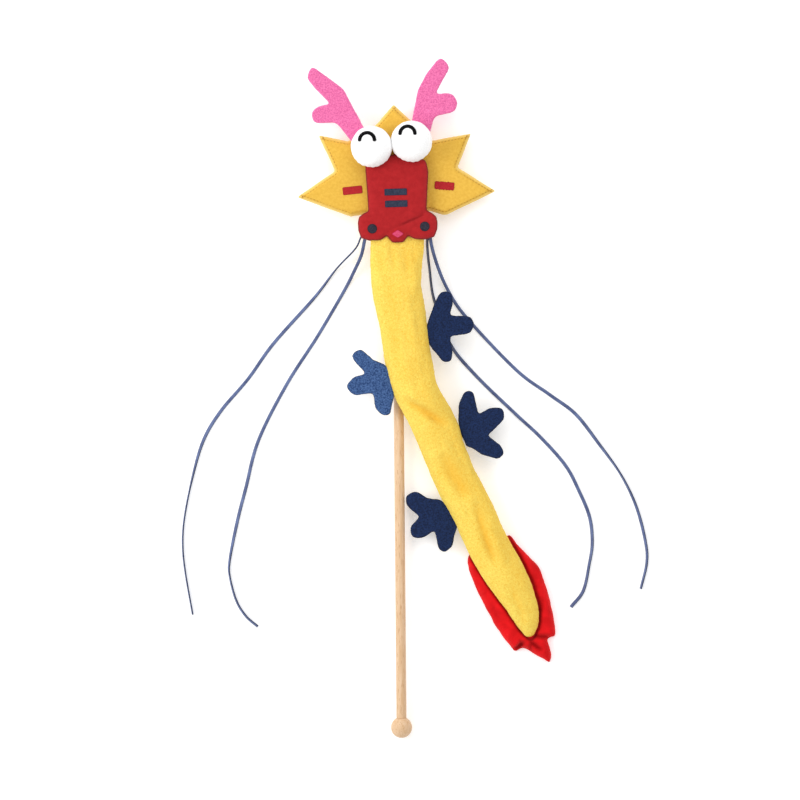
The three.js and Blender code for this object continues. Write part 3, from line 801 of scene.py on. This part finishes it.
# Each length: piece, joint, the bodies before and after it, the CAD solids it stands for,
# and how far from the joint it bends, in millimetres.
lengths = [
    ("neck_skin", "neck_bend", "head", "neck", ["neck_end"], 9),
    ("front_skin", "front_bend", "neck", "body_front",
     ["body_fleece_1", "body_stuffing_1"], 16),
    ("middle_skin", "middle_bend", "body_front", "body_middle",
     ["body_fleece_2", "body_stuffing_2"], 18),
    ("rear_skin", "rear_bend", "body_middle", "body_rear",
     ["body_fleece_3", "body_stuffing_3"], 18),
    ("tail_skin", "tail_bend", "body_rear", "tail",
     ["body_fleece_4", "body_stuffing_4", "body_fleece_5", "body_stuffing_5"], 16),
]
hinges = []
for _, joint, *_ in lengths:
    point, axis = joint_point(joint)
    onward = Vector((0, 0, 1)).cross(axis)
    hinges.append((point, onward))
# The cuts run between the joints; the first is a little nearer the short neck.
cuts = []
for (a, a_on), (b, b_on) in zip(hinges, hinges[1:]):
    share = 0.42 if a is hinges[0][0] else 0.5
    cuts.append((a.lerp(b, share), (a_on + b_on).normalized()))
whole_normals = normals_of(tube)
for i, (name, _, before, after, stands_for, reach) in enumerate(lengths):
    bm = bmesh.new()
    bm.from_mesh(tube.data)
    layer = bm.verts.layers.float_vector.new("seam_normal")
    for v, n in zip(bm.verts, whole_normals):
        v[layer] = n
    if i:
        cut_away(bm, *cuts[i - 1], clear_inner=True)
    if i < len(cuts):
        cut_away(bm, *cuts[i], clear_outer=True)
    seam_normals = [v[layer].copy() for v in bm.verts]
    skin_piece = make_piece(bm, name, [fleece])
    skin_piece.data.normals_split_custom_set_from_vertices(seam_normals)
    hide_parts(*stands_for)
    point, onward = hinges[i]
    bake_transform(skin_piece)
bpy.data.objects.remove(tube)

# ----------------------------------------
# Tail fin: a flame of bright red short-pile plush, lightly stuffed and sewn under the
# tail's end, with its three points pinched into folds.

# Velboa plush: saturated red with a soft bloom; nearly black-red is painted into its creases as
# shade.
plush, tree, skin, place = new_material(
    "red_velboa_plush", 0.9, Sheen_Weight=0.25, Sheen_Roughness=0.45, Specular_IOR_Level=0.2)
skin.inputs["Sheen Tint"].default_value = linear("#FF6A60")
drift = add_node(tree, "ShaderNodeTexNoise", {
    "Vector": place, "Scale": 1 / (12 * mm), "Detail": 5, "Distortion": 0.6})
shade = add_node(tree, "ShaderNodeValToRGB", {"Fac": drift.outputs["Fac"]})
colour_stops(shade, (0.35, "#C8070D"), (0.65, "#E41017"))
pile = add_node(tree, "ShaderNodeTexNoise", {
    "Vector": place, "Scale": 1 / (0.7 * mm), "Detail": 3})
# Painted shade: an attribute darkens the creases toward near-black red.
painted_shade = add_node(tree, "ShaderNodeAttribute", attribute_name="painted_shade")
deep = add_node(tree, "ShaderNodeMix", {
    "Factor": painted_shade.outputs["Fac"], "A": shade.outputs["Color"], "B": linear("#6A0206")},
    data_type="RGBA")
dress(tree, skin, deep.outputs["Result"], pile.outputs["Fac"], 0.4, 0.4 * mm)

# The fin's outline (x, y), in millimetres, clockwise from where its left side leaves the tail.
flame = [
    (54.8, -284), (53.6, -290), (55.2, -298), (62.4, -315), (72.6, -336), (81.5, -350),
    (91.5, -363), (97.5, -359), (108.5, -365), (119, -372), (120.5, -365), (117, -352),
    (124, -350), (123.5, -341), (121.6, -330.5), (119.8, -320), (116.4, -309.5),
    (113, -299), (108.4, -291), (102, -285), (95.6, -278), (88, -268.6),
]
bm = bmesh.new()
corners = [bm.verts.new((x * mm, y * mm, 0)) for x, y in flame]
bmesh.ops.contextual_create(bm, geom=corners)
bmesh.ops.bevel(bm, geom=bm.verts[:], offset=1.5 * mm, segments=3, affect="VERTICES",
                profile=0.5, material=-1)
bm.faces.ensure_lookup_table()
rim = [v.co.copy() for v in bm.faces[0].verts]
made = bmesh.ops.extrude_face_region(bm, geom=bm.faces[:])["geom"]
bmesh.ops.translate(bm, verts=picked(made, BMVert),
                    vec=(0, 0, 4 * mm))
bmesh.ops.recalc_face_normals(bm, faces=bm.faces)
fin = make_piece(bm, "plush_flame", [plush], "tail", ["tail_fin"])
resample(fin, 0.9 * mm, 2, 16)
rows, out = points_of(fin), normals_of(fin)
inside = from_rim(rows, rim)
# The gap from each point to the tail's side, in millimetres; below 0 it is under the tail.
gap = np.full(len(rows), 1e9)
for centre, run in zip(centres, centre_run):
    away = np.hypot(rows[:, 0] / mm - centre.x, rows[:, 1] / mm - centre.y)
    gap = np.minimum(gap, away - np.interp(run, station_run, [s[3] for s in body_stations]))
# Each lip is a full roll of plush that dips to a crease where it meets the tail.
roll = 8.6 * np.sqrt(1 - (1 - np.clip(inside / 5.5, 0, 1)) ** 2)
crease = 3.2 * np.exp(-(gap / 1.6) ** 2)
height = 0.8 + roll - crease
under = 1 - step(-3.8, -2.6, gap)
height = height * (1 - under) + 1.4 * under
# The pinched folds: from, to (x, y), half width and depth, in millimetres.
fin_folds = [
    ((100, -354), (89, -362), 1.5, 4.0), ((103, -354), (114, -362), 1.5, 4.2),
    ((106, -350), (120, -351), 1.6, 4.2), ((96, -352), (95, -363), 1.3, 2.4),
    ((104, -356), (104, -366), 1.3, 2.4), ((72, -322), (80, -340), 2.4, 1.4),
    ((114, -318), (109, -338), 2.4, 1.6), ((103, -286), (111, -306), 2.4, 1.4),
    ((58, -296), (68, -314), 2.0, 1.0),
]
# Painted shade: dark red along the crease where the fin meets the tail, and more in the pinched
# folds by their depth.
dark = 0.75 * np.exp(-((gap - 0.5) / 1.4) ** 2)
for start, finish, width, depth in fin_folds:
    felt_here = fold_depth(rows, start, finish, width)
    height -= felt_here * depth * np.clip(height / 8, 0, 1)
    dark += felt_here * depth / 9
mark(fin, "painted_shade", np.clip(dark, 0, 0.8) * step(0.0, 0.5, out[:, 2]))
share = step(0.8, 3.6, rows[:, 2] / mm)
rows[:, 2] = 0.3 * mm + share * np.maximum(height, 0.8) * mm
set_points(fin, rows)
roughen(fin, 0.8 * mm, 10 * mm, 31)
roughen(fin, 0.2 * mm, 2 * mm, 37)
rest_on_table(fin)

# ----------------------------------------
# Feet: three-toed shapes cut from thick heathered felt, caught in the body's side seams.
# One is cut from a lighter denim-blue sheet.
navy = felted("navy_wool_felt", "#0A1733", "#1A2F5A", 1.2 * mm, 0.35 * mm, "#080F22")
# The denim felt's edge colour is much darker than its faces: painted shade round the foot's edge.
denim = felted("denim_wool_felt", "#16305E", "#4D6DA0", 1.1 * mm, 0.35 * mm, "#0C1A38")
for name, body, felt, slot in (
    ("foot_right_front", "body_front", navy, "navy_felt"),
    ("foot_left_front", "body_front", denim, "denim_felt"),
    ("foot_right_rear", "body_middle", navy, "navy_felt"),
    ("foot_left_rear", "body_rear", navy, "navy_felt"),
):
    hinge, axis = joint_point(f"{name}_flap")
    outward = Vector((0, 0, 1)).cross(axis)
    bm = cad_copy(name)
    # The sewn edge runs on into the body and narrows there.
    sewn = [f for f in bm.faces if abs(f.normal.z) < 0.6 and f.normal @ outward < -0.6
            and abs((f.calc_center_median() - hinge) @ outward) < 6 * mm]
    made = bmesh.ops.extrude_face_region(bm, geom=sewn)["geom"]
    bmesh.ops.delete(bm, geom=sewn, context="FACES_ONLY")
    tucked = picked(made, BMVert)
    bmesh.ops.translate(bm, verts=tucked, vec=-outward * 4 * mm)
    seam_middle = sum((v.co for v in tucked), Vector()) / len(tucked)
    for v in tucked:
        v.co -= axis * 0.35 * ((v.co - seam_middle) @ axis)
    bmesh.ops.recalc_face_normals(bm, faces=bm.faces)
    foot = make_piece(bm, f"{name}_felt", [felt])
    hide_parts(name)
    resample(foot, 0.7 * mm, 2, 42)
    swell(foot, 0.55 * mm)
    mark(foot, "rim", cut_edge(foot))
    roughen(foot, 0.3 * mm, 8 * mm, 41)
    roughen(foot, 0.16 * mm, 1.8 * mm, 43)
    declare_sheet(foot)
    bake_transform(foot)

# ----------------------------------------
# Snout: a soft pad of crimson felted cloth, faced and backed, darker along its edge, with
# painted shade in its creases. It is tucked under the eyes; its lobes lie over the top of the
# body.
crimson = felted("crimson_felted_cloth", "#A3191E", "#AF1F23", 4 * mm, 0.4 * mm, "#7E0A10")
bm = cad_copy("snout_back")
rim = rim_of(bm)
back = make_piece(bm, "snout_backing", [crimson], "head", ["snout_back"])
resample(back, 0.5 * mm, 1)
rows = points_of(back)
mark(back, "rim", 1 - step(0.2, 1.2, from_rim(rows, rim)))
declare_sheet(back)

low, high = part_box("snout_front")
snout_floor, snout_top = low[2], high[2]
bm = cad_copy("snout_back")
for v in bm.verts:
    v.co.z = snout_floor if v.normal.z < 0 else snout_top
pad = make_piece(bm, "snout_pad", [crimson], "head",
                 ["snout_front", "snout_filling"])
resample(pad, 0.6 * mm, 3)
rows, out = points_of(pad), normals_of(pad)
inside = from_rim(rows, rim)
# The face swells from its bound edge, and creases run in between the lobes.
crown = 3.4 * (1 - np.exp(-inside / 2.6)) - 3.2
rows[:, 2] += crown * mm * step(snout_floor / mm + 1, snout_top / mm - 0.5, rows[:, 2] / mm)
sunk = np.zeros(len(rows))
for start, finish, width, depth in (
    ((1, -21), (22.5, -12), 1.1, 1.5), ((-24, -10), (-18, -14), 1.5, 0.6),
    ((24, -9), (18, -13), 1.5, 0.6), ((-8, -25), (3, -20), 1.8, 0.7),
    ((-10, -14), (12, -16), 6, 0.4),
):
    sunk += fold_depth(rows, start, finish, width) * depth * np.clip(out[:, 2], 0, 1)
rows[:, 2] -= sunk * mm
set_points(pad, rows)
# Painted shade: the creases take part of the darker edge colour.
mark(pad, "rim", np.maximum(1 - step(0.3, 1.3, inside), 0.45 * step(0.5, 1.4, sunk)))
roughen(pad, 0.5 * mm, 18 * mm, 47)
roughen(pad, 0.1 * mm, 1.6 * mm, 53)


def on_top(piece, base, above):
    """Lowers a thin patch onto the cloth below it, point by point."""
    bpy.context.view_layer.update()
    rows = points_of(piece)
    bottom = rows[:, 2].min()
    for row in rows:
        hit, where, _, _ = base.ray_cast(Vector((row[0], row[1], 0.2)), Vector((0, 0, -1)))
        if hit:
            row[2] = where.z + (row[2] - bottom) + above
    set_points(piece, rows)


patch_navy = felted("navy_patch_felt", "#262B3D", "#373D50", 1.2 * mm, 0.35 * mm, "#1B2540")
patch_dark = felted("dark_patch_felt", "#25222E", "#373440", 1.2 * mm, 0.35 * mm, "#1B1822")
patch_pink = felted("pink_patch_felt", "#C93A60", "#D75276", 1.2 * mm, 0.35 * mm, "#C22C60")
patch_red = felted("red_patch_felt", "#A81E26", "#B92A2E", 1.2 * mm, 0.35 * mm, "#9C1A24")
front_cloth = bpy.data.objects["mane_front_cloth"]
for name, base, material, slot in (
    ("snout_bar_upper", pad, patch_navy, "navy_patch"),
    ("snout_bar_lower", pad, patch_navy, "navy_patch"),
    ("nostril_left", pad, patch_dark, "navy_patch"),
    ("nostril_right", pad, patch_dark, "navy_patch"),
    ("tongue", pad, patch_pink, "tongue_felt"),
    ("mane_bar_left", front_cloth, patch_red, "red_felt"),
    ("mane_bar_right", front_cloth, patch_red, "red_felt"),
):
    bm = cad_copy(name)
    rim = rim_of(bm)
    patch = make_piece(bm, f"{name}_patch", [material], "head", [name])
    resample(patch, 0.22 * mm, 3)
    inside = from_rim(points_of(patch), rim)
    on_top(patch, base, -0.25 * mm)
    mark(patch, "rim", 1 - step(0.1, 0.7, inside))
    if name == "mane_bar_right":
        roughen(patch, 0.5 * mm, 0.9 * mm, 67)  # overlocked by hand, so its edge is uneven

# ----------------------------------------
# Eyes: white brushed-cloth balls, tightly stuffed, flattened where they are sewn on, each
# with a smile of black satin stitches.

# Brushed cloth: pure white, with a nap that keeps the shaded side light.
white, tree, skin, place = new_material(
    "white_brushed_cloth", 0.95, Sheen_Weight=0.3, Sheen_Roughness=0.6, Specular_IOR_Level=0.15)
nap = add_node(tree, "ShaderNodeTexNoise", {
    "Vector": place, "Scale": 1 / (0.9 * mm), "Detail": 4})
shade = add_node(tree, "ShaderNodeValToRGB", {"Fac": nap.outputs["Fac"]})
colour_stops(shade, (0.3, "#F1F1F1"), (0.6, "#FDFDFD"))
dress(tree, skin, shade.outputs["Color"], nap.outputs["Fac"], 0.4, 0.4 * mm)
# Satin stitches lie so close that they read as one dull black cord.
satin, tree, skin, place = new_material(
    "black_satin_stitch", 0.7, Specular_IOR_Level=0.05)
skin.inputs["Base Color"].default_value = linear("#0B0B0D")
threads = add_node(tree, "ShaderNodeTexNoise", {
    "Vector": place, "Scale": 1 / (0.5 * mm), "Detail": 2})
bump = add_node(tree, "ShaderNodeBump", {
    "Height": threads.outputs["Fac"], "Strength": 0.5, "Distance": 0.2 * mm})
tree.links.new(bump.outputs["Normal"], skin.inputs["Normal"])

eye_middles = {}
for side in ("left", "right"):
    low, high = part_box(f"eye_{side}")
    eye_middles[side] = Vector(((low[0] + high[0]) / 2, (low[1] + high[1]) / 2, 0))
BULGE = 1.035  # how much wider each ball is than its plain sphere
between = (eye_middles["left"] + eye_middles["right"]) / 2
rightward = (eye_middles["right"] - eye_middles["left"]).normalized()
for side in ("left", "right"):
    low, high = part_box(f"eye_{side}")
    radius = (high[0] - low[0]) / 2
    centre = Vector(((low[0] + high[0]) / 2, (low[1] + high[1]) / 2, high[2] - radius))
    bm = bmesh.new()
    bmesh.ops.create_uvsphere(bm, u_segments=96, v_segments=64, radius=radius)
    rim = cut_away(bm, (0, 0, low[2] - centre.z), (0, 0, 1), clear_inner=True)
    bmesh.ops.contextual_create(bm, geom=rim)
    bmesh.ops.translate(bm, verts=bm.verts, vec=centre)
    bmesh.ops.recalc_face_normals(bm, faces=bm.faces)
    eye = make_piece(bm, f"eye_ball_{side}", [white], "head", [f"eye_{side}"])
    # Small tucks where the thread pulls the cloth down onto the snout.
    rows, out = points_of(eye), normals_of(eye)
    heading = np.degrees(np.arctan2(rows[:, 1] - centre.y, rows[:, 0] - centre.x))
    lower = step(-165, -135, heading) * (1 - step(-45, -15, heading))
    near_seam = np.exp(-((rows[:, 2] - centre.z + 5 * mm) / (8 * mm)) ** 2)
    tucks = 0.3 * mm * np.sin(np.radians(heading * 24)) * lower * near_seam
    rows += out * tucks[:, None]
    # Each ball bulges a little and is pressed flat where the two touch.
    here, pressed_at, toward = (np.array(v)[:2] for v in (centre, between, rightward))
    rows[:, :2] = here + (rows[:, :2] - here) * BULGE
    beyond = (rows[:, :2] - pressed_at) @ toward
    if side == "left":
        over = np.maximum(beyond + 0.05 * mm, 0)
    else:
        over = np.minimum(beyond - 0.05 * mm, 0)
    rows[:, :2] -= over[:, None] * toward
    set_points(eye, rows)
    roughen(eye, 0.35 * mm, 7 * mm, 59)
    roughen(eye, 0.1 * mm, 1.6 * mm, 61)

    # The smile is a half ring of thread, raised in the middle, laid on the ball.
    low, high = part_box(f"eye_arc_{side}")
    thread_half = 1.15 * mm
    arc_radius = (high[0] - low[0]) / 2 - thread_half
    arc_centre = Vector(((low[0] + high[0]) / 2, high[1] - arc_radius - thread_half, 0))
    turns = 30  # steps round the half ring, with three more that taper each end
    places = []
    for k in range(-3, turns + 4):
        angle = math.pi * min(max(k, 0), turns) / turns
        taper = math.sqrt(max(0.02, 1 - (max(-k, k - turns, 0) / 3.2) ** 2))
        past = (max(-k, 0) - max(k - turns, 0)) * 0.36 * mm
        spot = Vector((math.cos(angle) * arc_radius, math.sin(angle) * arc_radius, 0))
        spot += Vector((math.sin(angle), -math.cos(angle), 0)) * past
        outward = Vector((math.cos(angle), math.sin(angle), 0))
        onward = Vector((-math.sin(angle), math.cos(angle), 0))
        turn = Matrix((outward * taper, Vector((0, 0, taper)), -onward)).transposed().to_4x4()
        places.append(Matrix.Translation(arc_centre + spot) @ turn)
    bm = bmesh.new()
    oval = [(1.25 * thread_half * math.cos(a), 0.55 * mm * math.sin(a)) for a in
            (2 * math.pi * k / 16 for k in range(16))]
    sweep(bm, oval, places)
    bmesh.ops.recalc_face_normals(bm, faces=bm.faces)
    for v in bm.verts:
        off = (v.co.xy - centre.xy).length / (BULGE * radius)
        v.co.z += centre.z + radius * math.sqrt(1 - off ** 2) + 0.35 * mm
    make_piece(bm, f"eye_smile_{side}", [satin], "head", [f"eye_arc_{side}"])
